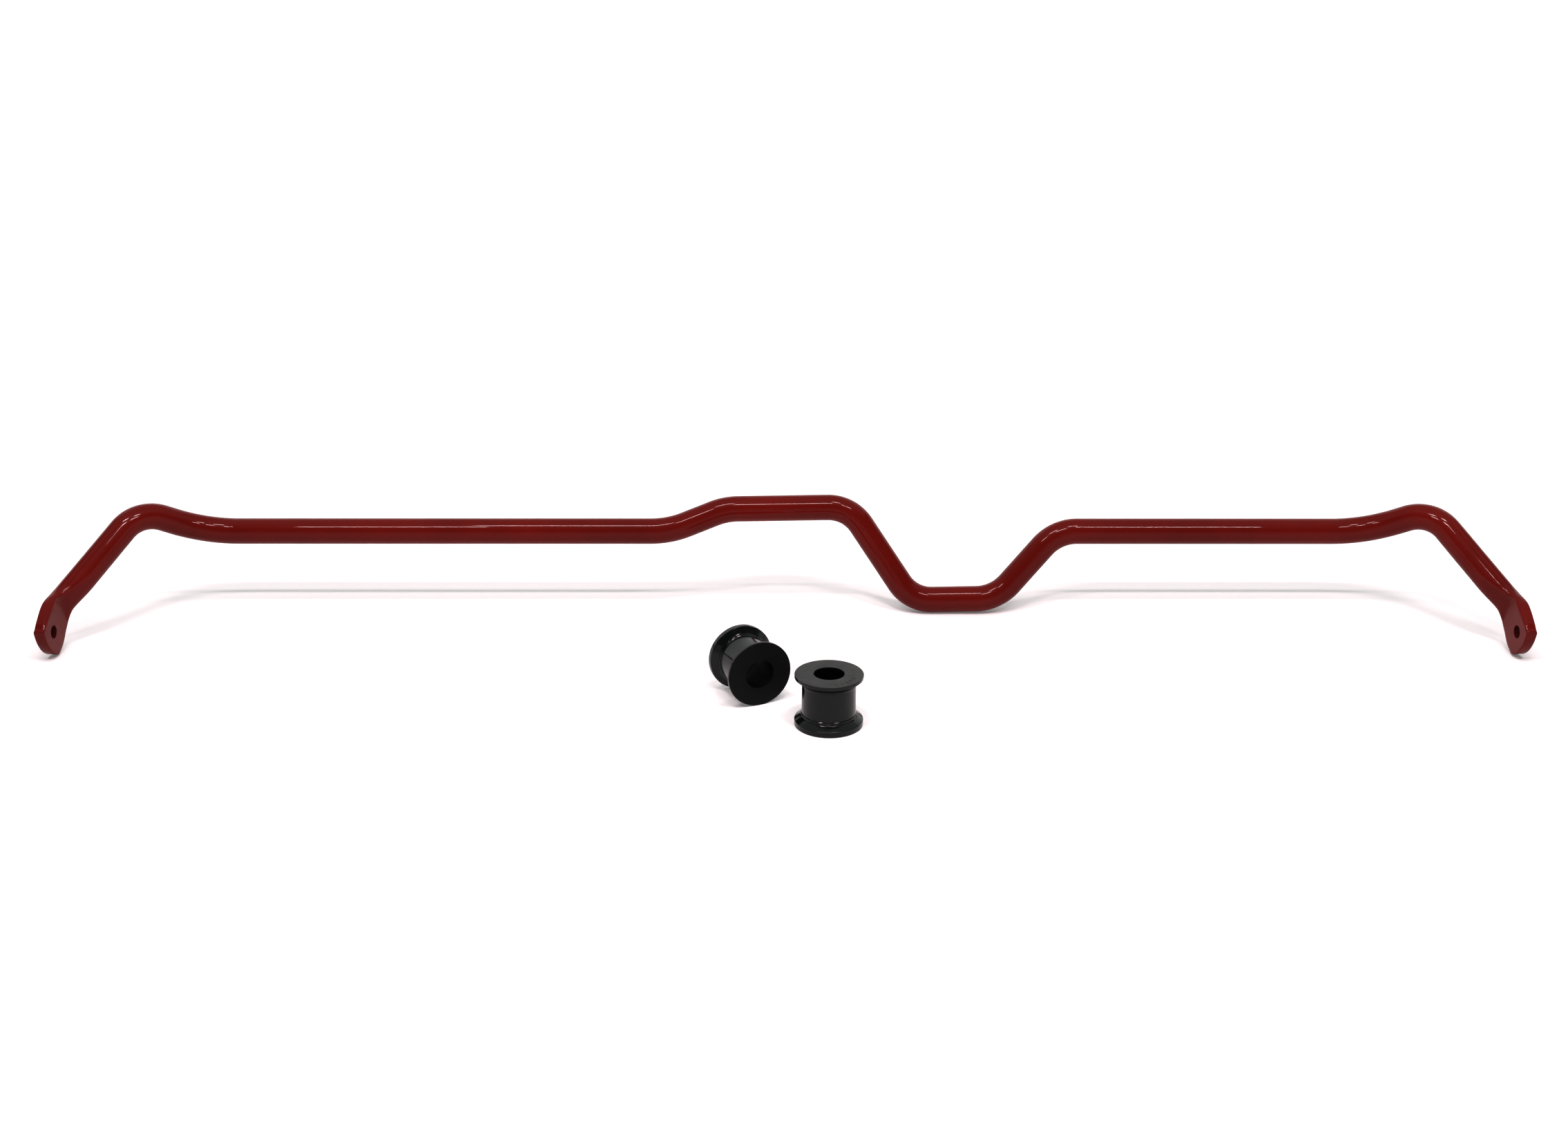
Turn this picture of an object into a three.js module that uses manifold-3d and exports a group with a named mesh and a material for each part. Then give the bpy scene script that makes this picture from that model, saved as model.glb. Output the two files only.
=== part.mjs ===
// Front sway bar kit laid out on a table: one forged bar and its two spool-shaped mount bushes.
// Millimetres, +Z up. X runs along the bar, the arms and the loose bushes lie towards -Y.
import * as THREE from "three";
import { mergeVertices } from "three/addons/utils/BufferGeometryUtils.js";
import Module from "manifold-3d";

const wasm = await Module();
wasm.setup();

// ---- driving dimensions ------------------------------------------------------------------------

const BAR_DIAMETER = 22;
const BAR_RADIUS = BAR_DIAMETER / 2;
const BAR_SIDES = 24;
const BEND_STEP = THREE.MathUtils.degToRad(7.5);

// Centreline corners of the bar. Y is measured from the straight run's axis, Z from the table.
const STRAIGHT_Z = 68.5;
const DOGLEG = {
  start: { x: -100.5, bendRadius: 84 },
  hump: [
    { x: -52.5, z: 86.7, bendRadius: 60 },
    { x: 54, z: 88.5, bendRadius: 34 },
  ],
  humpY: 5.5,
  dip: [
    { x: 107.5, z: 10.63, bendRadius: 33 },
    { x: 181, z: 11.93, bendRadius: 39 },
  ],
  dipY: -13.5,
  end: { x: 232, bendRadius: 39 },
};
const SWEEP_X = 497.5;
const SWEEP_RADIUS = 77;
const SHOULDER = new THREE.Vector3(541.5, -26, 95.5);
const SHOULDER_RADIUS = 31;

// Eye: the rod's end is forged flat across X, spread, trimmed and pierced.
const EYE = {
  x: 590.5,
  holeY: -114,
  holeZ: 22.24,
  holeDiameter: 10.5,
  thickness: 8.5,
  pitch: THREE.MathUtils.degToRad(35),
  halfWidth: 18.8,
  halfSquash: 8.4,
  midWidth: -2.4,
  toeU: -19,
  toeX: 592.8,
  toeRadius: 30,
  spreadFromU: -34,
  spreadToU: -10,
  creaseTilt: THREE.MathUtils.degToRad(12),
  innerCreaseU: -22,
  innerRamp: THREE.MathUtils.degToRad(52),
  outerCreaseU: -37,
  outerRamp: THREE.MathUtils.degToRad(20),
  endU: 9,
  endBulge: 4,
  tipRadius: 2,
};
const HOLE_SIDES = 32;

// Mount bush: bore, barrel and two flanges with conical backs.
const BUSH = {
  boreDiameter: 22.4,
  boreChamfer: 0.5,
  barrelDiameter: 39.8,
  flangeDiameter: 50.6,
  length: 39.8,
  thickRim: 4.3,
  thinRim: 2.6,
  rimChamfer: 0.4,
  coneDepth: 2.8,
  coneFootDiameter: 42.2,
  beadDiameter: 41.2,
  beadWidth: 1.4,
  beadFlank: 0.6,
};
const BUSH_SIDES = 48;
const LYING_BUSH = { x: -29.3, y: -185.7, turn: THREE.MathUtils.degToRad(-65.5) };
const UPRIGHT_BUSH = { x: 29.5, y: -235 };

// ---- helpers -----------------------------------------------------------------------------------

/** A closed three.js geometry as a manifold solid. */
function toSolid(geometry) {
  const bare = geometry.clone();
  bare.deleteAttribute("normal");
  bare.deleteAttribute("uv");
  const merged = mergeVertices(bare, 1e-4);
  return new wasm.Manifold(
    new wasm.Mesh({
      numProp: 3,
      vertProperties: new Float32Array(merged.attributes.position.array),
      triVerts: new Uint32Array(merged.index.array),
    }),
  );
}

/** A manifold solid back as a three.js geometry. */
function toGeometry(solid) {
  const mesh = solid.getMesh();
  const geometry = new THREE.BufferGeometry();
  geometry.setAttribute("position", new THREE.BufferAttribute(mesh.vertProperties, 3));
  geometry.setIndex(new THREE.BufferAttribute(mesh.triVerts, 1));
  geometry.computeVertexNormals();
  return geometry;
}

/** A curve that visits a list of stations, one for each step of an extrusion. */
class StationCurve extends THREE.Curve {
  constructor(stations) {
    super();
    this.stations = stations;
  }

  station(u) {
    return this.stations[Math.round(u * (this.stations.length - 1))];
  }

  getPoint(u, target = new THREE.Vector3()) {
    return target.copy(this.station(u).point);
  }

  getPointAt(u, target = new THREE.Vector3()) {
    return this.getPoint(u, target);
  }

  getTangentAt(u, target = new THREE.Vector3()) {
    return target.copy(this.station(u).tangent);
  }
}

/** Stations along straight runs joined by circular bends. Each corner is { at, radius, rungs }. */
function bentStations(corners) {
  const stations = [];
  let from = corners[0].at;
  for (let i = 1; i < corners.length; i++) {
    const corner = corners[i];
    const next = corners[i + 1];
    const incoming = corner.at.clone().sub(corners[i - 1].at).normalize();
    const outgoing = next ? next.at.clone().sub(corner.at).normalize() : incoming;
    const angle = incoming.angleTo(outgoing);
    const reach = (corner.radius ?? 0) * Math.tan(angle / 2);
    const start = corner.at.clone().addScaledVector(incoming, -reach);
    const rungs = corner.rungs ?? 1;
    for (let k = 0; k < rungs; k++) {
      stations.push({ point: from.clone().lerp(start, k / rungs), tangent: incoming.clone() });
    }
    if (reach === 0) {
      if (!next) {
        stations.push({ point: start, tangent: incoming.clone() });
      }
      from = start;
      continue;
    }
    const inward = outgoing.clone().addScaledVector(incoming, -incoming.dot(outgoing)).normalize();
    const centre = start.clone().addScaledVector(inward, corner.radius);
    const bendSteps = Math.max(2, Math.ceil(angle / BEND_STEP));
    for (let k = 0; k < bendSteps; k++) {
      const a = (angle * k) / bendSteps;
      const radial = inward.clone().multiplyScalar(-Math.cos(a)).addScaledVector(incoming, Math.sin(a));
      stations.push({
        point: centre.clone().addScaledVector(radial, corner.radius),
        tangent: incoming.clone().multiplyScalar(Math.cos(a)).addScaledVector(inward, Math.sin(a)),
      });
    }
    from = corner.at.clone().addScaledVector(outgoing, reach);
  }
  return stations;
}

function circleShape(radius, sides) {
  const points = [];
  for (let i = 0; i < sides; i++) {
    const a = (2 * Math.PI * i) / sides;
    points.push(new THREE.Vector2(radius * Math.cos(a), radius * Math.sin(a)));
  }
  return new THREE.Shape(points);
}

// ---- bar ---------------------------------------------------------------------------------------

// The eye's own axes, from the hole's centre: U along the blade towards its end, W across it.
const EYE_U = new THREE.Vector3(0, -Math.cos(EYE.pitch), -Math.sin(EYE.pitch));
const EYE_W = new THREE.Vector3(0, -Math.sin(EYE.pitch), Math.cos(EYE.pitch));

/** The point at (u, w) in the eye's plane, or in one beside it, on the side given by sign. */
function eyePoint(sign, u, w, x = EYE.x) {
  return new THREE.Vector3(sign * x, EYE.holeY, EYE.holeZ).addScaledVector(EYE_U, u).addScaledVector(EYE_W, w);
}

function endCorners(sign) {
  const mirror = (v) => new THREE.Vector3(sign * v.x, v.y, v.z);
  return [
    { at: eyePoint(sign, EYE.endU + 2 * EYE.endBulge + 4, EYE.midWidth) },
    { at: eyePoint(sign, EYE.toeU, EYE.midWidth, EYE.toeX), radius: EYE.toeRadius, rungs: 6 },
    { at: mirror(SHOULDER), radius: SHOULDER_RADIUS, rungs: 5 },
    { at: new THREE.Vector3(sign * SWEEP_X, 0, STRAIGHT_Z), radius: SWEEP_RADIUS },
  ];
}

function barCorners() {
  const corner = (y) => ({ x, z = STRAIGHT_Z, bendRadius }) => ({
    at: new THREE.Vector3(x, y, z),
    radius: bendRadius,
  });
  const dogleg = [
    corner(0)(DOGLEG.start),
    ...DOGLEG.hump.map(corner(DOGLEG.humpY)),
    ...DOGLEG.dip.map(corner(DOGLEG.dipY)),
    corner(0)(DOGLEG.end),
  ];
  // The rungs belong to the straight before a corner, so the right end's are set on its last two corners.
  const right = endCorners(1).reverse();
  const rightEnd = right.map(({ at, radius }, i) => ({ at, radius, rungs: [1, 1, 5, 6][i] }));
  return [...endCorners(-1), ...dogleg, ...rightEnd];
}

/** Flattens the rod towards the blade: W grows and X shrinks about its middle as U nears the end. */
function spreadEnds(geometry) {
  const position = geometry.attributes.position;
  const point = new THREE.Vector3();
  for (let i = 0; i < position.count; i++) {
    point.fromBufferAttribute(position, i);
    const fromHole = point.clone().sub(new THREE.Vector3(point.x, EYE.holeY, EYE.holeZ));
    const u = fromHole.dot(EYE_U);
    const nearEye = Math.abs(point.x) > SHOULDER.x && u > EYE.spreadFromU;
    if (!nearEye) {
      continue;
    }
    const w = fromHole.dot(EYE_W) - EYE.midWidth;
    const share = THREE.MathUtils.smoothstep(u, EYE.spreadFromU, EYE.spreadToU);
    const growth = share * (EYE.halfWidth / BAR_RADIUS - 1);
    const squash = share * (1 - EYE.halfSquash / BAR_RADIUS);
    const middleX = Math.sign(point.x) * EYE.x;
    point.addScaledVector(EYE_W, w * growth);
    point.x -= (point.x - middleX) * squash;
    position.setXYZ(i, point.x, point.y, point.z);
  }
  return geometry;
}

/** Places a solid that was drawn with X = u, Y = w and Z towards -X into an eye's frame. */
function placeAtEye(geometry, sign) {
  const across = new THREE.Vector3().crossVectors(EYE_U, EYE_W);
  const basis = new THREE.Matrix4().makeBasis(EYE_U, EYE_W, across);
  basis.setPosition(sign * EYE.x, EYE.holeY, EYE.holeZ);
  return geometry.applyMatrix4(basis);
}

/** The forging die on a blade's face (1 towards -X, -1 towards +X): a flat and a ramp into the rod. */
function dieSolid(sign, face) {
  const reach = 60;
  const half = EYE.thickness / 2;
  const isOuter = face !== sign;
  const creaseU = isOuter ? EYE.outerCreaseU : EYE.innerCreaseU;
  const ramp = isOuter ? EYE.outerRamp : EYE.innerRamp;
  const rise = reach * Math.sin(ramp);
  const run = reach * Math.cos(ramp);
  const profile = new THREE.Shape();
  profile.moveTo(creaseU, half);
  profile.lineTo(reach, half);
  profile.lineTo(reach, half + rise);
  profile.lineTo(creaseU - run, half + rise);
  profile.closePath();
  const die = new THREE.ExtrudeGeometry(profile, { depth: 2 * reach, bevelEnabled: false });
  die.translate(0, 0, -reach);
  die.rotateX(Math.PI / 2);
  if (face < 0) {
    die.rotateX(Math.PI);
  }
  die.rotateZ(EYE.creaseTilt);
  return toSolid(placeAtEye(die, sign));
}

/** What the trimming tool takes off past the blade's end: an arc between the corners, a round tip. */
function trimSolid(sign) {
  const far = 60;
  const top = EYE.midWidth + EYE.halfWidth;
  const bottom = EYE.midWidth - EYE.halfWidth;
  const chord = top - bottom;
  const arcRadius = (chord * chord) / 8 / EYE.endBulge + EYE.endBulge / 2;
  const arcCentreU = EYE.endU + EYE.endBulge - arcRadius;
  const arcHalf = Math.asin(chord / 2 / arcRadius);
  const outline = new THREE.Shape();
  outline.moveTo(EYE.endU, far);
  outline.lineTo(EYE.endU, top);
  outline.absarc(arcCentreU, EYE.midWidth, arcRadius, arcHalf, EYE.tipRadius / arcRadius - arcHalf, true);
  const tipStart = outline.currentPoint.clone();
  const tipEndU = tipStart.x - 1.5 * EYE.tipRadius;
  outline.quadraticCurveTo(EYE.endU + 1, bottom, tipEndU, bottom);
  outline.lineTo(tipEndU, -far);
  outline.lineTo(far, -far);
  outline.lineTo(far, far);
  outline.closePath();
  const tool = new THREE.ExtrudeGeometry(outline, { depth: far, bevelEnabled: false, curveSegments: 10 });
  tool.translate(0, 0, -far / 2);
  return toSolid(placeAtEye(tool, sign));
}

function holeSolid(sign) {
  const drill = new THREE.CylinderGeometry(
    EYE.holeDiameter / 2,
    EYE.holeDiameter / 2,
    BAR_DIAMETER * 2,
    HOLE_SIDES,
  );
  drill.rotateX(Math.PI / 2);
  return toSolid(placeAtEye(drill, sign));
}

function barGeometry() {
  const stations = bentStations(barCorners());
  const rod = new THREE.ExtrudeGeometry(circleShape(BAR_RADIUS, BAR_SIDES), {
    steps: stations.length - 1,
    extrudePath: new StationCurve(stations),
  });
  let bar = toSolid(spreadEnds(rod));
  for (const sign of [-1, 1]) {
    for (const face of [-1, 1]) {
      bar = bar.subtract(dieSolid(sign, face));
    }
    bar = bar.subtract(trimSolid(sign));
    bar = bar.subtract(holeSolid(sign));
  }
  return toGeometry(bar);
}

// ---- bushes ------------------------------------------------------------------------------------

/** One end of the bush's section, from the barrel to the bore, as (radius, height). */
function bushEndProfile(rimWidth) {
  const end = BUSH.length / 2;
  const rim = BUSH.flangeDiameter / 2;
  const bore = BUSH.boreDiameter / 2;
  const coneFoot = end - rimWidth - BUSH.coneDepth;
  const beadStart = coneFoot - BUSH.beadFlank - BUSH.beadWidth;
  return [
    [BUSH.barrelDiameter / 2, beadStart - BUSH.beadFlank],
    [BUSH.beadDiameter / 2, beadStart],
    [BUSH.beadDiameter / 2, beadStart + BUSH.beadWidth],
    [BUSH.coneFootDiameter / 2, coneFoot],
    [rim, end - rimWidth],
    [rim, end - BUSH.rimChamfer],
    [rim - BUSH.rimChamfer, end],
    [bore + BUSH.boreChamfer, end],
    [bore, end - BUSH.boreChamfer],
  ];
}

/** The bush about its own Y axis, with the thin flange at +Y. */
function bushGeometry() {
  const thin = bushEndProfile(BUSH.thinRim);
  const thick = bushEndProfile(BUSH.thickRim).map(([r, z]) => [r, -z]);
  const ring = [...thin, ...thick.reverse(), thin[0]].map(([r, z]) => new THREE.Vector2(r, z));
  return new THREE.LatheGeometry(ring, BUSH_SIDES);
}

// ---- assembly ----------------------------------------------------------------------------------

const redPaint = new THREE.MeshStandardMaterial({ color: 0x8f1a12, roughness: 0.3, metalness: 0.0 });
const blackUrethane = new THREE.MeshStandardMaterial({ color: 0x161819, roughness: 0.35, metalness: 0.0 });

function namedMesh(name, geometry, material) {
  const mesh = new THREE.Mesh(geometry, material);
  mesh.name = name;
  return mesh;
}

const bar = namedMesh("sway_bar", barGeometry(), redPaint);

const lyingBush = namedMesh("mount_bush_lying", bushGeometry(), blackUrethane);
lyingBush.position.set(LYING_BUSH.x, LYING_BUSH.y, BUSH.flangeDiameter / 2);
lyingBush.rotation.z = LYING_BUSH.turn - Math.PI / 2;

const uprightBush = namedMesh("mount_bush_upright", bushGeometry(), blackUrethane);
uprightBush.position.set(UPRIGHT_BUSH.x, UPRIGHT_BUSH.y, BUSH.length / 2);
uprightBush.rotation.x = Math.PI / 2;

// The kit's origin is on the table, in the middle of the space that it covers.
const kitFront = UPRIGHT_BUSH.y - BUSH.flangeDiameter / 2;
const kitBack = DOGLEG.humpY + BAR_RADIUS;
const kit = new THREE.Group();
kit.position.y = -(kitFront + kitBack) / 2;
kit.add(bar, lyingBush, uprightBush);

export default kit;
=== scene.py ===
"""A sway bar and its two flanged mount bushes on a pale table, built around the CAD frame."""

import math

import bmesh
import bpy
from mathutils import Matrix, Vector, noise


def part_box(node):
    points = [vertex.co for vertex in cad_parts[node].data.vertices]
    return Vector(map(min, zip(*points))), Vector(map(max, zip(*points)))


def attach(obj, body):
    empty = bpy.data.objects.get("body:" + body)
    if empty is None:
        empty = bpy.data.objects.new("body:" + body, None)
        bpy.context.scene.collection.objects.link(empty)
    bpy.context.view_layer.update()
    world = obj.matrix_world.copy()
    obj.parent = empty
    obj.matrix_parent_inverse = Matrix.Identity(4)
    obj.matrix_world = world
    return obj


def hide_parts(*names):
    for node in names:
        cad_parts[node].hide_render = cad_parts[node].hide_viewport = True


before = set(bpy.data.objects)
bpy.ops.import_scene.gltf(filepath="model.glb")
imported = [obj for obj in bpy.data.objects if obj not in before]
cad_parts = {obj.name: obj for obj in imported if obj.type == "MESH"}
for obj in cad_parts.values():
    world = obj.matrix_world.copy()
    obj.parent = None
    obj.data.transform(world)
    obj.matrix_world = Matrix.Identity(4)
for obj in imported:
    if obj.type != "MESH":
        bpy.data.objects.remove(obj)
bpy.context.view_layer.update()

MM = 0.001

# ---- driving dimensions, in millimetres: Y from the bar's straight axis, Z from the table --------

BAR_RADIUS = 11.0
BAR_SIDES = 72
BEND_STEP = math.radians(2.5)
STRAIGHT_STEP = 8.0
END_STEP = 1.0
BAR_SHARP_ANGLE = 40

STRAIGHT_Z = 68.5
HUMP_Y = 5.5
DIP_Y = -13.5
DOGLEG = [
    ((-100.5, 0.0, STRAIGHT_Z), 84.0),
    ((-52.5, HUMP_Y, 86.7), 60.0),
    ((54.0, HUMP_Y, 88.5), 34.0),
    ((107.5, DIP_Y, 10.63), 33.0),
    ((181.0, DIP_Y, 11.93), 39.0),
    ((232.0, 0.0, STRAIGHT_Z), 39.0),
]
SWEEP_X = 497.5
SWEEP_RADIUS = 77.0
SHOULDER = (541.5, -26.0, 95.5)
SHOULDER_RADIUS = 31.0

# the eyes: U runs along the blade from the hole towards its end, W runs up across it
EYE_X = 590.5
EYE_HOLE_Y = -114.0
EYE_HOLE_Z = 22.24
EYE_PITCH = math.radians(35)
EYE_HOLE_RADIUS = 5.25
EYE_HOLE_SIDES = 64
EYE_HOLE_BEVEL = 0.45
RIM_TOLERANCE = 0.03
RIM_REACH = 20
RIM_FLATNESS = 0.05
EYE_HALF_THICKNESS = 4.25
EYE_MID_W = -2.4
EYE_HALF_WIDTH = 18.8
EYE_HALF_SQUASH = 8.4
EYE_BOTTOM_NARROWING = 2.4
EYE_TOP_EDGE = [(-44, 8.6), (-36, 8.8), (-30, 9.9), (-24, 12.2), (-18, 14.4), (-12, 15.3),
                (-5, 15.4), (2, 15.1), (9, 13.7)]
EYE_BOTTOM_EDGE = [(-44, -13.2), (-36, -13.2), (-30, -14.2), (-24, -17.4), (-18, -20.6),
                   (-12, -22.1), (-5, -22.9), (2, -22.9), (5, -22.4), (9, -21.1)]
EYE_SQUARENESS_TOP = 3.2
EYE_SQUARENESS_BOTTOM = 2.6
EYE_SPREAD = (-30.0, -17.0)
EYE_NARROWING_FROM_U = -4.0
EYE_TOE_U = -19.0
EYE_TOE_X = 592.8
EYE_TOE_RADIUS = 30.0
EYE_END_U = 9.0
EYE_END_BULGE = 5.6
EYE_END_CORNER_W = -16.0
EYE_END_CORNER_DROP = 0.012
CREASE_TILT = math.radians(12)
INNER_CREASE_U = -22.2
INNER_RAMP = math.tan(math.radians(52))
OUTER_CREASE_U = -37.0
OUTER_RAMP = math.tan(math.radians(20))
OUTER_RAMP_REACH = 35.0
CREASE_SOFTNESS = 3.5
CREASE_CORNER = 0.03
CREASE_CORNER_W = 4.0
EDGE_BLEND = 1.2
RAMP_BLEND = 8.0
RAMP_BLEND_RISE = 9.0

END_ROUND = 1.1
TIP_ROUND = 2.4
END_CURVE_FROM_U = -8.0
END_RINGS = [3.8, 3.2, 2.1, 1.6, 1.2, 0.85, 0.6, 0.4, 0.22, 0.1, 0.0]
CAP_SCALES = [0.75, 0.45, 0.2, 0.0]
END_CROWN = 0.2

WAVER_ON_BAR = 0.03
WAVER_MORE_AT_EYES = 0.07
WAVER_GROWS = (470, 560)
WAVER_SCALE = 0.055
FLAT_FROM_X = 580
FLAT_MARGIN = 0.05
TABLE_CLEAR_Z = 14

BUSH_LENGTH = 39.8
BUSH_FLANGE_RADIUS = 25.3
BUSH_BORE_RADIUS = 11.2
BUSH_BARREL_RADIUS = 19.9
BUSH_THICK_RIM = 4.3
BUSH_THIN_RIM = 2.6
BUSH_CONE_DEPTH = 2.8
BUSH_SIDES = 144
BUSH_SHARP_ANGLE = 45
ARC_STEPS = 5
SEAM_HEIGHT = 0.05
SEAM_ANGLE = math.radians(258)
SEAM_SPREAD = 0.006
LYING_BUSH_TURN = math.radians(-65.5)
LYING_BUSH_ROLL = math.radians(150)

BORE_MARGIN = 0.1
END_FACE_FADE = (0.3, 0.05)

MARK_COUNT = 5
MARK_RING = (BUSH_FLANGE_RADIUS + BUSH_BORE_RADIUS) / 2 + 1.2
MARK_FIRST = -76
MARK_STEP = 12.5
MARK_LONG = 3.4
MARK_SHORT = 2.6
MARK_WIDTH = 1.0
MARK_DEPTH = 0.5
MARK_BEVEL = 0.18

# ---- bush end faces: how matt, how far painted light lightens them, how far painted shade darkens them and takes their sheen ---

# the upright bush's end faces carry painted light (lighter, matt); the lying bush's carry painted
# shade (darker, less sheen), though both bushes are the same material
UPRIGHT_ENDS_PAINTED_LIGHT = {"end_matt_and_lit": 1.0, "end_dull_and_shaded": 0.0}
LYING_ENDS_PAINTED_SHADE = {"end_matt_and_lit": 0.2, "end_dull_and_shaded": 0.75}

PAINT_DEEP = (0.1, 0.0048, 0.0028)
PAINT_BRIGHT = (0.13, 0.0068, 0.004)
PAINT_FINE = (0.098, 0.0075, 0.005)
# painted shade: a darker red on the eye holes' walls
PAINT_HOLE_SHADE = (0.022, 0.006, 0.005)
PAINT_SPECULAR = 0.03
PAINT_COAT = 0.27
PAINT_COAT_ROUGHNESS = 0.03

RUBBER_DEEP = (0.003, 0.0044, 0.0041)
RUBBER_LIGHT = (0.0056, 0.0076, 0.007)
RUBBER_DUST = (0.016, 0.017, 0.016)
# painted light: a lighter colour on the matt end faces
RUBBER_MATT_LIT = (0.015, 0.0168, 0.016)
# painted shade: a darker colour in the bores and on the lying bush's end faces
RUBBER_PAINTED_SHADE = (0.0022, 0.0024, 0.0023)
RUBBER_SPECULAR = 0.28
SPECULAR_CHANGE = 0.25
ROUGHNESS_CHANGE = 0.42

TABLE_TONES = ((0.78, 0.78, 0.78), (0.8, 0.8, 0.8))
TABLE_ROUGHNESS = 0.9
TABLE_SPECULAR = 0.1
# the table's glow: distance from and to in metres, strength at each
TABLE_GLOW_OUTWARD = (0.8, 2.5, 0.14, 0.9)
TABLE_GLOW_FRONT = (-5.0, -2.5, 0.35, 1.0)

# ---- stage, camera and lights: the camera's place in millimetres, the rest in metres and watts ---

STAGE_SIDES = 96
STAGE_RADIUS = 5.0
STAGE_RISE_RADIUS = 2.5
STAGE_RISE_STEPS = 12
STAGE_RIM_TURN = math.radians(75)
STAGE_EDGE = 0.1
BACKDROP_HEIGHT = 7.0
BACKDROP_SPREAD = (0.5, 0.7)

CAMERA_PLACE = (-10.0, -1169.25, 510.7)
CAMERA_PITCH = math.radians(19.98)
CAMERA_YAW = math.radians(0.353)
CAMERA_ROLL = math.radians(-0.128)
CAMERA_LENS = 36.476
CAMERA_SENSOR = 36.0
CAMERA_REACH = 100.0
VIEW_GAMMA = 0.8

# each run of the strip light: its left end, right end, Y and Z
STRIP_RUNS = [
    (-1.02, -0.62, -1.0, 1.75),
    (-0.62, -0.2, -0.56, 1.82),
    (-0.2, 0.2, -1.0, 1.75),
    (0.2, 0.54, -0.56, 1.82),
    (0.54, 1.02, -1.0, 1.75),
]
STRIP_TARGET_YZ = (0.12, 0.06)
STRIP_WIDTH = 0.12
STRIP_POWER = 25.0
PANEL_PLACE = (0.0, 0.5, 1.9)
PANEL_TARGET = (0.0, 0.5, 0.0)
PANEL_SIZE = (5.0, 1.9)
PANEL_POWER = 22.0
WORLD_STRENGTH = 0.12
PINK = (1.0, 0.86, 0.88)
WHITE = (1.0, 1.0, 1.0)

BAR_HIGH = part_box("sway_bar")[1]
AXIS_Y = BAR_HIGH.y / MM - HUMP_Y - BAR_RADIUS


# ---- small helpers -------------------------------------------------------------------------------

def smoothstep(low, high, value):
    share = min(max((value - low) / (high - low), 0.0), 1.0)
    return share * share * (3 - 2 * share)


def soft_min(a, b, blend):
    """The lower of two values, rounded over where they are within blend of each other."""
    overlap = max(blend - abs(a - b), 0.0) / blend
    return min(a, b) - overlap * overlap * blend / 4


def new_object(name, mesh):
    obj = bpy.data.objects.new(name, mesh)
    bpy.context.scene.collection.objects.link(obj)
    return obj


def mesh_from(name, points, faces):
    """A smooth mesh object from points in millimetres."""
    mesh = bpy.data.meshes.new(name)
    mesh.from_pydata([Vector(p) * MM for p in points], [], faces)
    mesh.update()
    return new_object(name, mesh)


def finish_mesh(obj, material, sharp_angle):
    """Closes seams, faces everything outwards and shades smooth below an angle in degrees."""
    work = bmesh.new()
    work.from_mesh(obj.data)
    bmesh.ops.remove_doubles(work, verts=work.verts, dist=0.002 * MM)
    bmesh.ops.recalc_face_normals(work, faces=work.faces)
    work.to_mesh(obj.data)
    work.free()
    obj.data.shade_smooth()
    obj.data.set_sharp_from_angle(angle=math.radians(sharp_angle))
    obj.data.materials.clear()
    obj.data.materials.append(material)


# ---- the bar's path ------------------------------------------------------------------------------

EYE_U = Vector((0, -math.cos(EYE_PITCH), -math.sin(EYE_PITCH)))
EYE_W = Vector((0, -math.sin(EYE_PITCH), math.cos(EYE_PITCH)))


def eye_centre(sign):
    return Vector((sign * EYE_X, EYE_HOLE_Y, EYE_HOLE_Z))


def eye_point(sign, u, w, x=EYE_X):
    return Vector((sign * x, EYE_HOLE_Y, EYE_HOLE_Z)) + EYE_U * u + EYE_W * w


def bar_corners():
    """The centreline's corners from the left end to the right, each a point and a bend radius."""
    def end(sign):
        return [
            (eye_point(sign, EYE_END_U, EYE_MID_W), 0.0),
            (eye_point(sign, EYE_TOE_U, EYE_MID_W, EYE_TOE_X), EYE_TOE_RADIUS),
            (Vector((sign * SHOULDER[0], SHOULDER[1], SHOULDER[2])), SHOULDER_RADIUS),
            (Vector((sign * SWEEP_X, 0, STRAIGHT_Z)), SWEEP_RADIUS),
        ]
    middle = [(Vector(p), radius) for p, radius in DOGLEG]
    return end(-1) + middle + end(1)[::-1]


def straight_stations(start, stop, step):
    count = max(1, math.ceil((stop - start).length / step))
    return [start.lerp(stop, k / count) for k in range(count)]


def bar_path():
    """Points and tangents along the centreline, close together in the bends and near the ends."""
    corners = bar_corners()
    path = []
    here = corners[0][0]
    for i in range(1, len(corners)):
        at, radius = corners[i]
        incoming = (at - corners[i - 1][0]).normalized()
        near_end = i <= 2 or i >= len(corners) - 2
        step = END_STEP if near_end else STRAIGHT_STEP
        if i == len(corners) - 1:
            path += [(p, incoming) for p in straight_stations(here, at, step)]
            path.append((at, incoming))
            break
        outgoing = (corners[i + 1][0] - at).normalized()
        angle = incoming.angle(outgoing)
        reach = radius * math.tan(angle / 2)
        start = at - incoming * reach
        path += [(p, incoming) for p in straight_stations(here, start, step)]
        inward = (outgoing - incoming * incoming.dot(outgoing)).normalized()
        centre = start + inward * radius
        steps = max(2, math.ceil(angle / BEND_STEP))
        for k in range(steps):
            a = angle * k / steps
            radial = -inward * math.cos(a) + incoming * math.sin(a)
            tangent = incoming * math.cos(a) + inward * math.sin(a)
            path.append((centre + radial * radius, tangent))
        here = at + outgoing * reach
    return path


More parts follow.
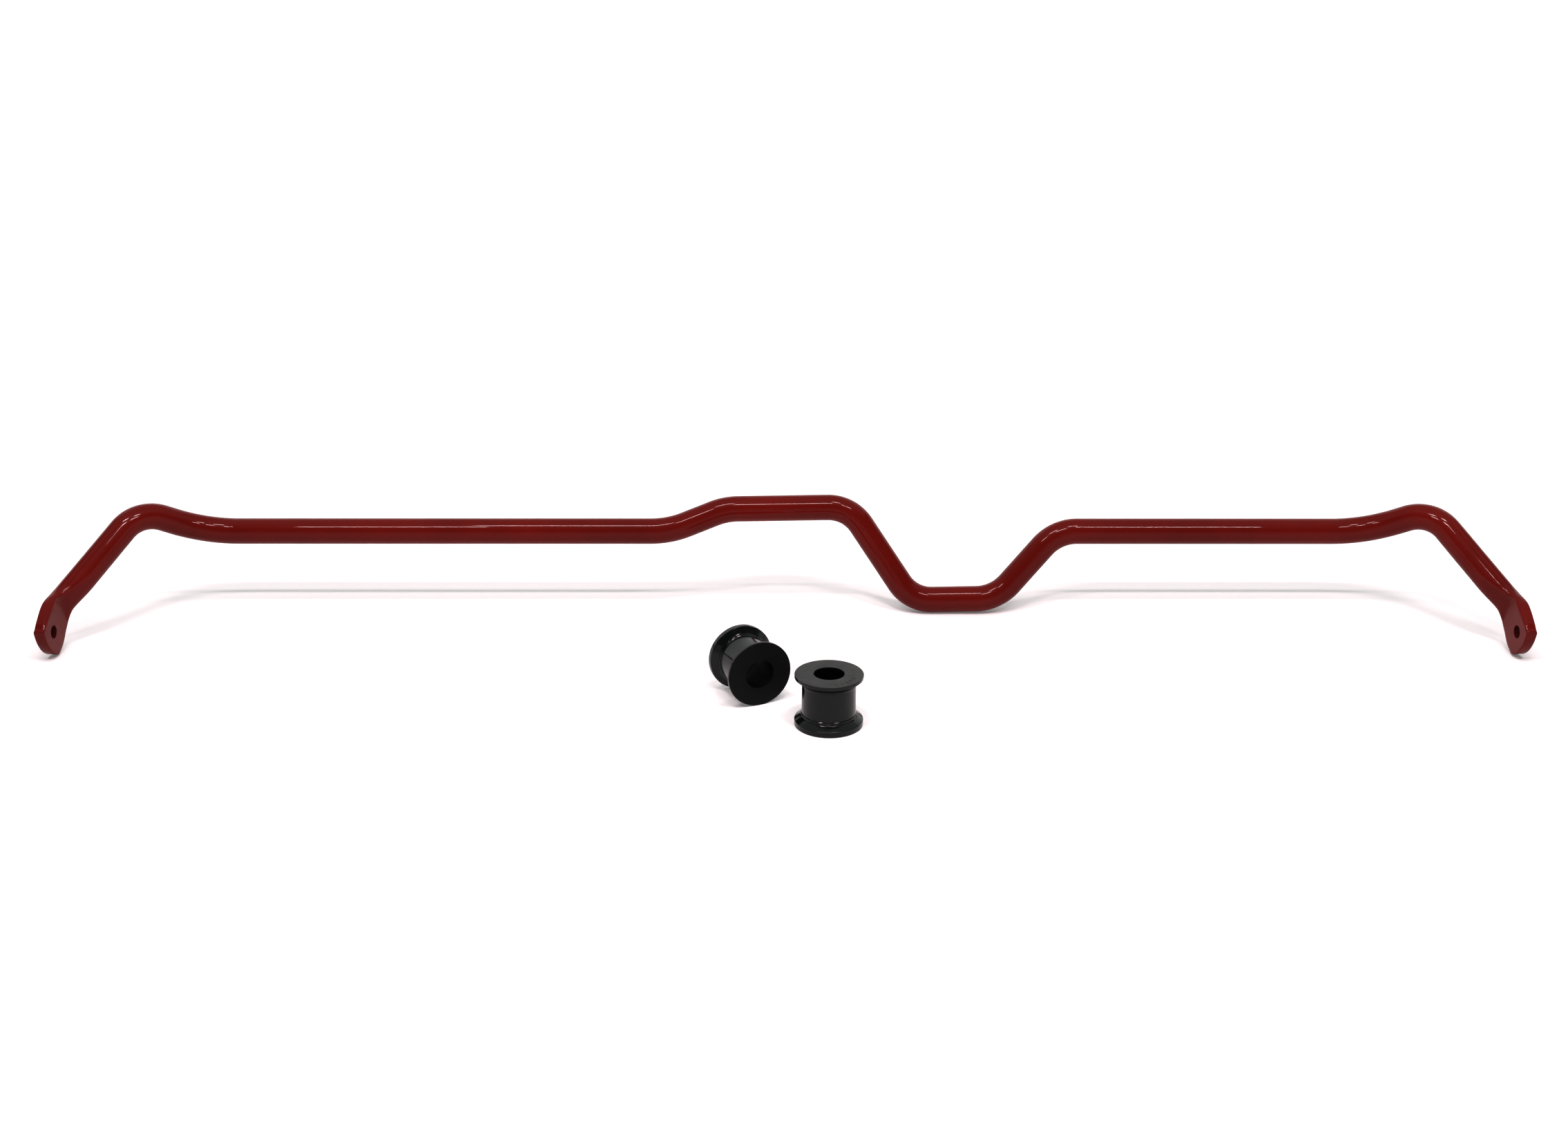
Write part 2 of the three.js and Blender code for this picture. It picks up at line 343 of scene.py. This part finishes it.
def ring_frames(path):
    """A first normal for each station, carried along without twist and matched to W at both ends."""
    normals = [EYE_W.copy()]
    for (_, before), (_, after) in zip(path, path[1:]):
        carried = before.rotation_difference(after) @ normals[-1]
        normals.append((carried - after * carried.dot(after)).normalized())
    last_tangent = path[-1][1]
    across = last_tangent.cross(normals[-1])
    error = math.atan2(EYE_W.dot(across), EYE_W.dot(normals[-1]))
    count = len(path) - 1
    return [Matrix.Rotation(error * i / count, 3, tangent) @ normal
            for i, ((_, tangent), normal) in enumerate(zip(path, normals))]


# ---- the bar's shape -----------------------------------------------------------------------------

def curve_value(table, at):
    """A smooth curve through a table of (position, value), level beyond its ends."""
    if at <= table[0][0]:
        return table[0][1]
    for i in range(1, len(table)):
        x0, y0 = table[i - 1]
        x1, y1 = table[i]
        if at <= x1:
            before = table[max(i - 2, 0)]
            after = table[min(i + 1, len(table) - 1)]
            span = x1 - x0
            m0 = (y1 - before[1]) / (x1 - before[0]) * span
            m1 = (after[1] - y0) / (after[0] - x0) * span
            t = (at - x0) / span
            return ((2 * t ** 3 - 3 * t ** 2 + 1) * y0 + (t ** 3 - 2 * t ** 2 + t) * m0
                    + (3 * t ** 2 - 2 * t ** 3) * y1 + (t ** 3 - t ** 2) * m1)
    return table[-1][1]


def half_width(u, above):
    """Reach of the blade from its middle line to its upper or lower edge."""
    if above:
        return curve_value(EYE_TOP_EDGE, u) - EYE_MID_W
    return EYE_MID_W - curve_value(EYE_BOTTOM_EDGE, u)


def face_rise(u, w, crease_u):
    """How far before the crease a point of the rod lies, zero on the blade's flat."""
    corner = CREASE_CORNER * max(w - CREASE_CORNER_W, 0.0) ** 2
    return max(crease_u + corner - u * math.cos(CREASE_TILT) - w * math.sin(CREASE_TILT), 0.0)


def press(out, rise, ramp):
    """Where the forging die leaves a point that stood out from the blade's middle by so much."""
    limit = EYE_HALF_THICKNESS + rise * rise / (rise + CREASE_SOFTNESS) * ramp
    blend = EDGE_BLEND + RAMP_BLEND * smoothstep(0.0, RAMP_BLEND_RISE, rise)
    return soft_min(out, limit, blend)


def squared(value, exponent):
    """A unit circle's coordinate, nearer a rounded square's as the exponent drops below one."""
    return math.copysign(abs(value) ** exponent, value)


def forge(point, station, sign):
    """Moves a point of the round rod to where forging leaves it near the eye on one side."""
    from_hole = point - eye_centre(sign)
    u = from_hole.dot(EYE_U)
    if sign * point.x < SHOULDER[0] or u < OUTER_CREASE_U - OUTER_RAMP_REACH:
        return point
    share = smoothstep(*EYE_SPREAD, u)
    w = from_hole.dot(EYE_W) - EYE_MID_W
    near_end = smoothstep(EYE_NARROWING_FROM_U, EYE_END_U - 1.0, u)
    narrowing = EYE_BOTTOM_NARROWING * max(-w / BAR_RADIUS, 0.0) * near_end
    squareness = EYE_SQUARENESS_TOP if w > 0 else EYE_SQUARENESS_BOTTOM
    exponent = 1 - share * (1 - 2 / squareness)
    w = EYE_MID_W + squared(w / BAR_RADIUS, exponent) * half_width(u, w > 0)
    sideways = sign * (point.x - station.x) / BAR_RADIUS
    squashed = BAR_RADIUS + share * (EYE_HALF_SQUASH - narrowing - BAR_RADIUS)
    out = sign * station.x - EYE_X + squared(sideways, exponent) * squashed
    out = press(out, face_rise(u, w, OUTER_CREASE_U), OUTER_RAMP)
    out = -press(-out, face_rise(u, w, INNER_CREASE_U), INNER_RAMP)
    moved = Vector((0, EYE_HOLE_Y, EYE_HOLE_Z)) + EYE_U * u + EYE_W * w
    moved.x = sign * (EYE_X + out)
    return moved


def end_reach(w):
    """How far the sheared end reaches at height w: an arc, cut back at its lower corner."""
    across = (w - EYE_MID_W) / EYE_HALF_WIDTH
    below = max(EYE_END_CORNER_W - w, 0.0)
    return EYE_END_BULGE * max(1 - across * across, 0.0) - EYE_END_CORNER_DROP * below * below


def bend_end(point, station, sign):
    """Squares the last rings to the blade and curves them towards the arc of its end."""
    from_hole = point - eye_centre(sign)
    u = from_hole.dot(EYE_U)
    station_u = (station - eye_centre(sign)).dot(EYE_U)
    share = smoothstep(END_CURVE_FROM_U, EYE_END_U - END_RINGS[0], station_u)
    if abs(station.x) < SHOULDER[0] or share == 0.0:
        return point
    target = station_u + end_reach(from_hole.dot(EYE_W))
    return point + EYE_U * share * (target - u)


def waver(point, outward):
    """The slight unevenness that bending and forging leave, at most a tenth of a millimetre."""
    near_eye = smoothstep(*WAVER_GROWS, abs(point.x))
    amount = WAVER_ON_BAR + WAVER_MORE_AT_EYES * near_eye
    return outward * amount * (0.5 + 0.5 * noise.noise(point * WAVER_SCALE))


def inset(distance, radius):
    """How far an edge rounded to a radius has drawn in, at a distance short of its end."""
    over = max(radius - distance, 0.0)
    return radius - math.sqrt(radius * radius - over * over)


def end_cap_rings(ring, sign):
    """The rings that round the blade's end over and close it, starting from its last full ring."""
    rings = []
    centre = eye_centre(sign)
    start = END_RINGS[0]
    for distance in END_RINGS[1:]:
        rings.append([])
        for point in ring:
            local = point - centre
            w = local.dot(EYE_W) - EYE_MID_W
            draw_w = inset(distance, TIP_ROUND if w < 0 else END_ROUND)
            draw_x = inset(distance, END_ROUND)
            shift_w = -w * draw_w / half_width(EYE_END_U, w > 0)
            moved = point + EYE_U * (start - distance) + EYE_W * shift_w
            moved.x = centre.x + local.x * (1 - draw_x / EYE_HALF_THICKNESS)
            rings[-1].append(moved)
    last = rings[-1]
    for scale in CAP_SCALES:
        crown = EYE_U * END_CROWN * (1 - scale * scale)
        rings.append([Vector((centre.x + (p.x - centre.x) * scale, p.y, p.z)) + crown
                      for p in last])
    return rings


def bar_rings():
    """The bar's cross-sections from its left end to its right end."""
    path = bar_path()
    first_end = 0
    while (path[first_end][0] - path[0][0]).length < END_RINGS[0]:
        first_end += 1
    path = path[first_end:len(path) - first_end]
    rings = []
    for (point, tangent), normal in zip(path, ring_frames(path)):
        across = tangent.cross(normal)
        ring = []
        for k in range(BAR_SIDES):
            a = 2 * math.pi * k / BAR_SIDES
            radial = normal * math.cos(a) + across * math.sin(a)
            place = point + radial * BAR_RADIUS
            sign = 1 if place.x > 0 else -1
            place = bend_end(forge(place, point, sign), point, sign)
            in_blade = abs(abs(place.x) - EYE_X) < EYE_HALF_THICKNESS + FLAT_MARGIN
            on_flat = in_blade and abs(place.x) > FLAT_FROM_X
            if not on_flat and abs(point.z) > TABLE_CLEAR_Z:
                place = place - waver(place, radial)
            ring.append(place)
        rings.append(ring)
    left = end_cap_rings(rings[0], -1)
    right = end_cap_rings(rings[-1], 1)
    return left[::-1] + rings + right


def cut_eye_hole(obj, sign):
    """Drills the eye across and breaks the hole's edges."""
    centre = (eye_centre(sign) + Vector((0, AXIS_Y, 0))) * MM
    work = bmesh.new()
    turn = Matrix.Rotation(math.pi / 2, 4, "Y")
    bmesh.ops.create_cone(
        work, cap_ends=True, segments=EYE_HOLE_SIDES, radius1=EYE_HOLE_RADIUS * MM,
        radius2=EYE_HOLE_RADIUS * MM, depth=40 * MM, matrix=Matrix.Translation(centre) @ turn)
    cutter_mesh = bpy.data.meshes.new("cutter")
    work.to_mesh(cutter_mesh)
    work.free()
    cutter = new_object("cutter", cutter_mesh)
    cut = obj.modifiers.new("hole", "BOOLEAN")
    cut.operation = "DIFFERENCE"
    cut.solver = "EXACT"
    cut.object = cutter
    depsgraph = bpy.context.evaluated_depsgraph_get()
    cut_mesh = bpy.data.meshes.new_from_object(obj.evaluated_get(depsgraph))
    obj.modifiers.clear()
    obj.data = cut_mesh
    bpy.data.objects.remove(cutter)
    break_hole_edges(obj, centre)


def break_hole_edges(obj, centre):
    """Rounds the two rims of a hole that runs along X through centre."""
    work = bmesh.new()
    work.from_mesh(obj.data)

    def on_rim(vert):
        off = vert.co - centre
        radial = math.hypot(off.y, off.z)
        on_wall = abs(radial - EYE_HOLE_RADIUS * MM) < RIM_TOLERANCE * MM
        return on_wall and abs(off.x) < RIM_REACH * MM

    rims = [e for e in work.edges
            if on_rim(e.verts[0]) and on_rim(e.verts[1])
            and abs(e.verts[0].co.x - e.verts[1].co.x) < RIM_FLATNESS * MM]
    bmesh.ops.bevel(work, geom=rims, offset=EYE_HOLE_BEVEL * MM, segments=3, profile=0.5,
                    affect="EDGES", clamp_overlap=True)
    work.to_mesh(obj.data)
    work.free()


def build_bar(material):
    """The bent rod with its two pressed and drilled ends."""
    rings = bar_rings()
    points = [p + Vector((0, AXIS_Y, 0)) for ring in rings for p in ring]
    faces = []
    for i in range(len(rings) - 1):
        for k in range(BAR_SIDES):
            a = i * BAR_SIDES + k
            b = i * BAR_SIDES + (k + 1) % BAR_SIDES
            faces.append((a, b, b + BAR_SIDES, a + BAR_SIDES))
    bar = mesh_from("bar_forging", points, faces)
    finish_mesh(bar, material, BAR_SHARP_ANGLE)
    for sign in (-1, 1):
        cut_eye_hole(bar, sign)
    finish_mesh(bar, material, BAR_SHARP_ANGLE)
    keep_flats_flat = bar.modifiers.new("weighted_normals", "WEIGHTED_NORMAL")
    keep_flats_flat.keep_sharp = True
    return bar


# ---- bushes --------------------------------------------------------------------------------------

def rounded_outline(corners):
    """A closed outline with each corner (x, y, radius) replaced by a smooth curve."""
    outline = []
    count = len(corners)
    for i, (x, y, radius) in enumerate(corners):
        here = Vector((x, y))
        before = Vector(corners[i - 1][:2]) - here
        after = Vector(corners[(i + 1) % count][:2]) - here
        angle = before.angle(after)
        reach = min(radius / math.tan(angle / 2), before.length * 0.49, after.length * 0.49)
        start = here + before.normalized() * reach
        stop = here + after.normalized() * reach
        for k in range(ARC_STEPS + 1):
            t = k / ARC_STEPS
            outline.append(start * (1 - t) ** 2 + here * 2 * t * (1 - t) + stop * t * t)
    return outline


def bush_end(rim_width):
    """One end's corners from the barrel round the flange to the bore: radius, height, round."""
    half_length = BUSH_LENGTH / 2
    foot = half_length - rim_width - BUSH_CONE_DEPTH
    return [
        (BUSH_BARREL_RADIUS, foot - 2.75, 0.6),
        (BUSH_BARREL_RADIUS + 0.62, foot - 2.1, 0.45),
        (BUSH_BARREL_RADIUS + 0.62, foot - 1.0, 0.4),
        (BUSH_BARREL_RADIUS + 0.28, foot - 0.62, 0.3),
        (BUSH_BARREL_RADIUS + 1.05, foot + 0.05, 0.7),
        (BUSH_FLANGE_RADIUS, half_length - rim_width, 0.5),
        (BUSH_FLANGE_RADIUS, half_length, 0.5),
        (BUSH_BORE_RADIUS, half_length, 0.45),
    ]


def bush_mesh(name):
    """The bush about Z with its middle at the origin and the thin flange on top."""
    thin = bush_end(BUSH_THIN_RIM)
    thick = [(r, -z, round_) for r, z, round_ in bush_end(BUSH_THICK_RIM)]
    outline = rounded_outline(thin + thick[::-1])
    points = []
    for k in range(BUSH_SIDES):
        a = 2 * math.pi * k / BUSH_SIDES
        seam = SEAM_HEIGHT * math.exp(-((a - SEAM_ANGLE) / SEAM_SPREAD) ** 2)
        for r, z in outline:
            out = r + (seam if r > BUSH_BORE_RADIUS + 2 else 0)
            points.append((out * math.cos(a), out * math.sin(a), z))
    count = len(outline)
    faces = []
    for k in range(BUSH_SIDES):
        for j in range(count):
            a = k * count + j
            b = k * count + (j + 1) % count
            c = ((k + 1) % BUSH_SIDES) * count
            faces.append((a, b, c + (j + 1) % count, c + j))
    return mesh_from(name, points, faces)


def raised_marks():
    """Small raised bars on the thin flange's face, moulded in: plain bars, no characters."""
    work = bmesh.new()
    for i in range(MARK_COUNT):
        a = math.radians(MARK_FIRST + i * MARK_STEP)
        tall = MARK_SHORT if i % 2 else MARK_LONG
        place = Vector((MARK_RING * math.cos(a), MARK_RING * math.sin(a), BUSH_LENGTH / 2))
        turn = Matrix.Rotation(a, 4, "Z")
        size = Matrix.Diagonal((tall, MARK_WIDTH, MARK_DEPTH, 1.0))
        made = bmesh.ops.create_cube(
            work, size=1.0, matrix=Matrix.Translation(place) @ turn @ size)
        edges = {e for v in made["verts"] for e in v.link_edges}
        bmesh.ops.bevel(work, geom=list(edges), offset=MARK_BEVEL, segments=2, profile=0.5,
                        affect="EDGES")
    bmesh.ops.scale(work, vec=(MM, MM, MM), verts=work.verts)
    return work


def join_work(obj, work):
    """Adds a bmesh's faces to an object's mesh."""
    base = bmesh.new()
    base.from_mesh(obj.data)
    extra = bpy.data.meshes.new("extra")
    work.to_mesh(extra)
    work.free()
    base.from_mesh(extra)
    bpy.data.meshes.remove(extra)
    base.to_mesh(obj.data)
    base.free()


def mark_surfaces(bush, end_matt_and_lit, end_dull_and_shaded):
    """Stores how matt the end faces are and how much painted light lightens them, and how far
    painted shade darkens them and the bore's wall and takes their sheen.
    """
    matt_and_lit = bush.data.attributes.new("matt_and_lit", "FLOAT", "POINT")
    dull_and_shaded = bush.data.attributes.new("dull_and_shaded", "FLOAT", "POINT")
    reach = BUSH_LENGTH / 2 * MM
    for i, vert in enumerate(bush.data.vertices):
        in_bore = math.hypot(vert.co.x, vert.co.y) < (BUSH_BORE_RADIUS + BORE_MARGIN) * MM
        near_end = smoothstep(reach - END_FACE_FADE[0] * MM, reach - END_FACE_FADE[1] * MM,
                              abs(vert.co.z))
        # painted light on matt end faces; painted shade in the bore and on the lying bush's end
        # faces
        matt_and_lit.data[i].value = 0.0 if in_bore else near_end * end_matt_and_lit
        dull_and_shaded.data[i].value = 1.0 if in_bore else near_end * end_dull_and_shaded


def build_bush(name, placing, material, end_matt_and_lit, end_dull_and_shaded):
    """One bush, moulded marks and all, put in its place by a matrix."""
    bush = bush_mesh(name)
    join_work(bush, raised_marks())
    finish_mesh(bush, material, BUSH_SHARP_ANGLE)
    mark_surfaces(bush, end_matt_and_lit, end_dull_and_shaded)
    bush.data.transform(placing)
    return bush


def build_upright_bush(material):
    low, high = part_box("mount_bush_upright")
    middle = (low + high) / 2
    middle.z = BUSH_LENGTH / 2 * MM
    return build_bush("bush_upright", Matrix.Translation(middle), material, **UPRIGHT_ENDS_PAINTED_LIGHT)


def build_lying_bush(material):
    low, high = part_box("mount_bush_lying")
    middle = (low + high) / 2
    middle.z = BUSH_FLANGE_RADIUS * MM
    tip_over = Matrix.Rotation(math.pi / 2, 4, "Y")
    heading = Matrix.Rotation(LYING_BUSH_TURN, 4, "Z")
    own_turn = Matrix.Rotation(LYING_BUSH_ROLL, 4, "Z")
    placing = Matrix.Translation(middle) @ heading @ tip_over @ own_turn
    return build_bush("bush_lying", placing, material, **LYING_ENDS_PAINTED_SHADE)


# ---- materials -----------------------------------------------------------------------------------

class NodeBuilder:
    """Short calls for making and joining a material's nodes."""

    def __init__(self, name):
        self.material = bpy.data.materials.new(name)
        self.material.use_nodes = True
        self.tree = self.material.node_tree
        self.shader = self.tree.nodes["Principled BSDF"]
        self.place = self.add("ShaderNodeTexCoord").outputs["Object"]

    def add(self, kind, **settings):
        node = self.tree.nodes.new(kind)
        for key, value in settings.items():
            setattr(node, key, value)
        return node

    def join(self, output, target):
        self.tree.links.new(output, target)

    def noise(self, scale, detail, roughness=0.5):
        node = self.add("ShaderNodeTexNoise")
        node.inputs["Scale"].default_value = scale
        node.inputs["Detail"].default_value = detail
        node.inputs["Roughness"].default_value = roughness
        self.join(self.place, node.inputs["Vector"])
        return node.outputs["Fac"]

    def spread(self, value, low, high, to_low, to_high):
        node = self.add("ShaderNodeMapRange")
        node.inputs["From Min"].default_value = low
        node.inputs["From Max"].default_value = high
        node.inputs["To Min"].default_value = to_low
        node.inputs["To Max"].default_value = to_high
        self.join(value, node.inputs["Value"])
        return node.outputs["Result"]

    def blend(self, share, first, second):
        """Mixes two colours, each a colour value or another node's output."""
        node = self.add("ShaderNodeMix", data_type="RGBA")
        self.join(share, node.inputs["Factor"])
        for key, colour in (("A", first), ("B", second)):
            socket = next(s for s in node.inputs if s.name == key and s.type == "RGBA")
            if isinstance(colour, tuple):
                socket.default_value = (*colour, 1.0)
            else:
                self.join(colour, socket)
        return next(s for s in node.outputs if s.type == "RGBA")

    def math(self, operation, first, second):
        node = self.add("ShaderNodeMath", operation=operation)
        for socket, value in zip(node.inputs, (first, second)):
            if isinstance(value, (int, float)):
                socket.default_value = value
            else:
                self.join(value, socket)
        return node.outputs["Value"]

    def bump(self, height, distance, strength, under=None):
        node = self.add("ShaderNodeBump")
        node.inputs["Strength"].default_value = strength
        node.inputs["Distance"].default_value = distance
        self.join(height, node.inputs["Height"])
        if under is not None:
            self.join(under, node.inputs["Normal"])
        return node.outputs["Normal"]


def hole_distance(paint):
    """Distance of the shaded point from the axis through the two eye holes."""
    parts = paint.add("ShaderNodeSeparateXYZ")
    paint.join(paint.place, parts.inputs["Vector"])
    across = paint.math("SUBTRACT", parts.outputs["Y"], (EYE_HOLE_Y + AXIS_Y) * MM)
    above = paint.math("SUBTRACT", parts.outputs["Z"], EYE_HOLE_Z * MM)
    across_square = paint.math("MULTIPLY", across, across)
    above_square = paint.math("MULTIPLY", above, above)
    return paint.math("SQRT", paint.math("ADD", across_square, above_square), 0.0)


def red_paint():
    """Glossy powder coat: a deep red with slight thickness mottling, orange peel, a few nibs, and
    painted shade darkening the eye holes' walls.
    """
    paint = NodeBuilder("red_powder_coat")
    cloud = paint.noise(14.0, 4.0)
    fine = paint.noise(160.0, 3.0)
    colour = paint.blend(paint.spread(cloud, 0.35, 0.68, 0.0, 1.0), PAINT_DEEP, PAINT_BRIGHT)
    colour = paint.blend(paint.spread(fine, 0.4, 0.75, 0.0, 0.35), colour, PAINT_FINE)
    # painted shade on the walls of the eye holes
    hole_shade = paint.spread(hole_distance(paint), 5.0 * MM, 5.6 * MM, 1.0, 0.0)
    colour = paint.blend(hole_shade, colour, PAINT_HOLE_SHADE)
    paint.join(colour, paint.shader.inputs["Base Color"])
    roughness = paint.spread(paint.noise(60.0, 4.0, 0.6), 0.3, 0.7, 0.3, 0.42)
    paint.join(roughness, paint.shader.inputs["Roughness"])
    swell = paint.bump(paint.noise(75.0, 2.0), 0.00022, 0.35)
    peel = paint.bump(paint.noise(620.0, 2.0), 0.00003, 0.5, swell)
    nibs = paint.spread(paint.noise(950.0, 1.0), 0.74, 0.80, 0.0, 1.0)
    top = paint.bump(nibs, 0.00006, 0.5, peel)
    paint.join(top, paint.shader.inputs["Normal"])
    paint.shader.inputs["Specular IOR Level"].default_value = PAINT_SPECULAR
    paint.shader.inputs["Coat Weight"].default_value = PAINT_COAT
    paint.shader.inputs["Coat Roughness"].default_value = PAINT_COAT_ROUGHNESS
    return paint.material


def black_urethane():
    """Moulded polyurethane: near black and glossy, with matt end faces lightened by painted light,
    and painted shade darkening the bores and the lying bush's end faces.
    """
    rubber = NodeBuilder("black_polyurethane")
    cloud = rubber.noise(45.0, 4.0)
    colour = rubber.blend(rubber.spread(cloud, 0.35, 0.7, 0.0, 1.0), RUBBER_DEEP, RUBBER_LIGHT)
    dust = rubber.spread(rubber.noise(900.0, 2.0), 0.66, 0.8, 0.0, 0.35)
    colour = rubber.blend(dust, colour, RUBBER_DUST)
    matt_and_lit = rubber.add("ShaderNodeAttribute", attribute_name="matt_and_lit").outputs["Fac"]
    dull_and_shaded = rubber.add("ShaderNodeAttribute", attribute_name="dull_and_shaded").outputs["Fac"]
    # painted light: matt end faces lightened
    colour = rubber.blend(matt_and_lit, colour, RUBBER_MATT_LIT)
    # painted shade: bores and the lying bush's end faces darkened
    colour = rubber.blend(dull_and_shaded, colour, RUBBER_PAINTED_SHADE)
    rubber.join(colour, rubber.shader.inputs["Base Color"])
    haze = rubber.spread(rubber.noise(120.0, 4.0, 0.6), 0.3, 0.72, 0.08, 0.2)
    rougher = rubber.math("MULTIPLY", rubber.math("ADD", matt_and_lit, dull_and_shaded), ROUGHNESS_CHANGE)
    rubber.join(rubber.math("ADD", haze, rougher), rubber.shader.inputs["Roughness"])
    flow = rubber.bump(rubber.noise(260.0, 3.0), 0.00006, 0.4)
    skin = rubber.bump(rubber.noise(2200.0, 2.0), 0.000012, 0.5, flow)
    rubber.join(skin, rubber.shader.inputs["Normal"])
    shine = rubber.math("ADD", rubber.math("MULTIPLY", matt_and_lit, SPECULAR_CHANGE), RUBBER_SPECULAR)
    shine = rubber.math("SUBTRACT", shine, rubber.math("MULTIPLY", dull_and_shaded, SPECULAR_CHANGE))
    rubber.join(shine, rubber.shader.inputs["Specular IOR Level"])
    return rubber.material


def table_top():
    """Plain pale floor that glows a little, and more further out, so that it stays evenly pale."""
    floor = NodeBuilder("pale_table")
    tone = floor.spread(floor.noise(1.5, 2.0), 0.3, 0.7, 0.0, 1.0)
    floor.join(floor.blend(tone, *TABLE_TONES), floor.shader.inputs["Base Color"])
    floor.shader.inputs["Roughness"].default_value = TABLE_ROUGHNESS
    floor.shader.inputs["Specular IOR Level"].default_value = TABLE_SPECULAR
    floor.shader.inputs["Emission Color"].default_value = (*WHITE, 1.0)
    parts = floor.add("ShaderNodeSeparateXYZ")
    floor.join(floor.place, parts.inputs["Vector"])
    distance = floor.add("ShaderNodeVectorMath", operation="LENGTH")
    floor.join(floor.place, distance.inputs[0])
    outward = floor.spread(distance.outputs["Value"], *TABLE_GLOW_OUTWARD)
    front = floor.spread(parts.outputs["Y"], *TABLE_GLOW_FRONT)
    floor.join(floor.math("MULTIPLY", outward, front), floor.shader.inputs["Emission Strength"])
    return floor.material


# ---- stage, lights and camera --------------------------------------------------------------------

def build_stage():
    """A round floor that sweeps up into a low rim, and behind the object into a tall backdrop."""
    profile = [(STAGE_RADIUS - STAGE_EDGE, 0.0), (STAGE_RADIUS, 0.0)]
    for k in range(1, STAGE_RISE_STEPS + 1):
        a = STAGE_RIM_TURN * k / STAGE_RISE_STEPS
        profile.append((STAGE_RADIUS + STAGE_RISE_RADIUS * math.sin(a),
                        STAGE_RISE_RADIUS * (1 - math.cos(a))))
    wall_radius, rim_height = profile[-1]
    points = [(0, 0, 0)]
    for k in range(STAGE_SIDES):
        a = 2 * math.pi * k / STAGE_SIDES
        behind = smoothstep(*BACKDROP_SPREAD, math.sin(a))
        tall = rim_height + STAGE_EDGE + (BACKDROP_HEIGHT - rim_height) * behind
        for r, z in profile + [(wall_radius, tall)]:
            points.append((r * math.cos(a) / MM, r * math.sin(a) / MM, z / MM))
    rows = len(profile) + 1
    faces = []
    for k in range(STAGE_SIDES):
        here = 1 + k * rows
        beyond = 1 + (k + 1) % STAGE_SIDES * rows
        faces.append((0, here, beyond))
        faces += [(here + j, here + j + 1, beyond + j + 1, beyond + j) for j in range(rows - 1)]
    stage = mesh_from("table_and_backdrop", points, faces)
    stage.data.shade_smooth()
    stage.data.materials.append(table_top())


def add_light(name, place, target, size, power, colour):
    """A rectangular soft light at a place, facing a target."""
    lamp = bpy.data.lights.new(name, "AREA")
    lamp.shape = "RECTANGLE"
    lamp.size, lamp.size_y = size
    lamp.energy = power
    lamp.color = colour
    holder = bpy.data.objects.new(name, lamp)
    holder.location = place
    holder.rotation_euler = (Vector(target) - Vector(place)).to_track_quat("-Z", "Y").to_euler()
    bpy.context.scene.collection.objects.link(holder)


def build_lights():
    """An even pale surround, a strip light in five runs and a dim panel, all overhead."""
    world = bpy.data.worlds.new("studio")
    bpy.context.scene.world = world
    world.use_nodes = True
    background = world.node_tree.nodes["Background"]
    background.inputs["Color"].default_value = (*WHITE, 1.0)
    background.inputs["Strength"].default_value = WORLD_STRENGTH
    for i, (x_from, x_to, y, z) in enumerate(STRIP_RUNS):
        middle = (x_from + x_to) / 2
        length = x_to - x_from
        add_light(f"strip_{i}", (middle, y, z), (middle, *STRIP_TARGET_YZ),
                  (length, STRIP_WIDTH), STRIP_POWER * length, PINK)
    add_light("overhead_panel", PANEL_PLACE, PANEL_TARGET, PANEL_SIZE, PANEL_POWER, WHITE)


def build_camera():
    """The camera, a little above the object and in front of it, looking down on it."""
    fwd = Vector((math.sin(CAMERA_YAW) * math.cos(CAMERA_PITCH),
                  math.cos(CAMERA_YAW) * math.cos(CAMERA_PITCH), -math.sin(CAMERA_PITCH)))
    right = Vector((math.cos(CAMERA_YAW), -math.sin(CAMERA_YAW), 0))
    down = fwd.cross(right)
    rolled_right = right * math.cos(CAMERA_ROLL) + down * math.sin(CAMERA_ROLL)
    rolled_down = down * math.cos(CAMERA_ROLL) - right * math.sin(CAMERA_ROLL)
    data = bpy.data.cameras.new("camera")
    data.lens = CAMERA_LENS
    data.sensor_width = CAMERA_SENSOR
    data.clip_end = CAMERA_REACH
    camera = bpy.data.objects.new("camera", data)
    turn = Matrix((rolled_right, -rolled_down, -fwd)).transposed().to_4x4()
    camera.matrix_world = Matrix.Translation(Vector(CAMERA_PLACE) * MM) @ turn
    bpy.context.scene.collection.objects.link(camera)
    bpy.context.scene.camera = camera


# ---- assembly ------------------------------------------------------------------------------------

def main():
    """Builds each piece and ties it to the frame, then the stage around them."""
    paint = red_paint()
    urethane = black_urethane()

    bar = build_bar(paint)
    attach(bar, "bar")
    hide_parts("sway_bar")

    lying = build_lying_bush(urethane)
    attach(lying, "lying_bush")
    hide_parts("mount_bush_lying")

    upright = build_upright_bush(urethane)
    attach(upright, "upright_bush")
    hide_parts("mount_bush_upright")

    build_stage()
    build_lights()
    build_camera()
    bpy.context.scene.view_settings.view_transform = "Standard"
    bpy.context.scene.view_settings.gamma = VIEW_GAMMA


main()
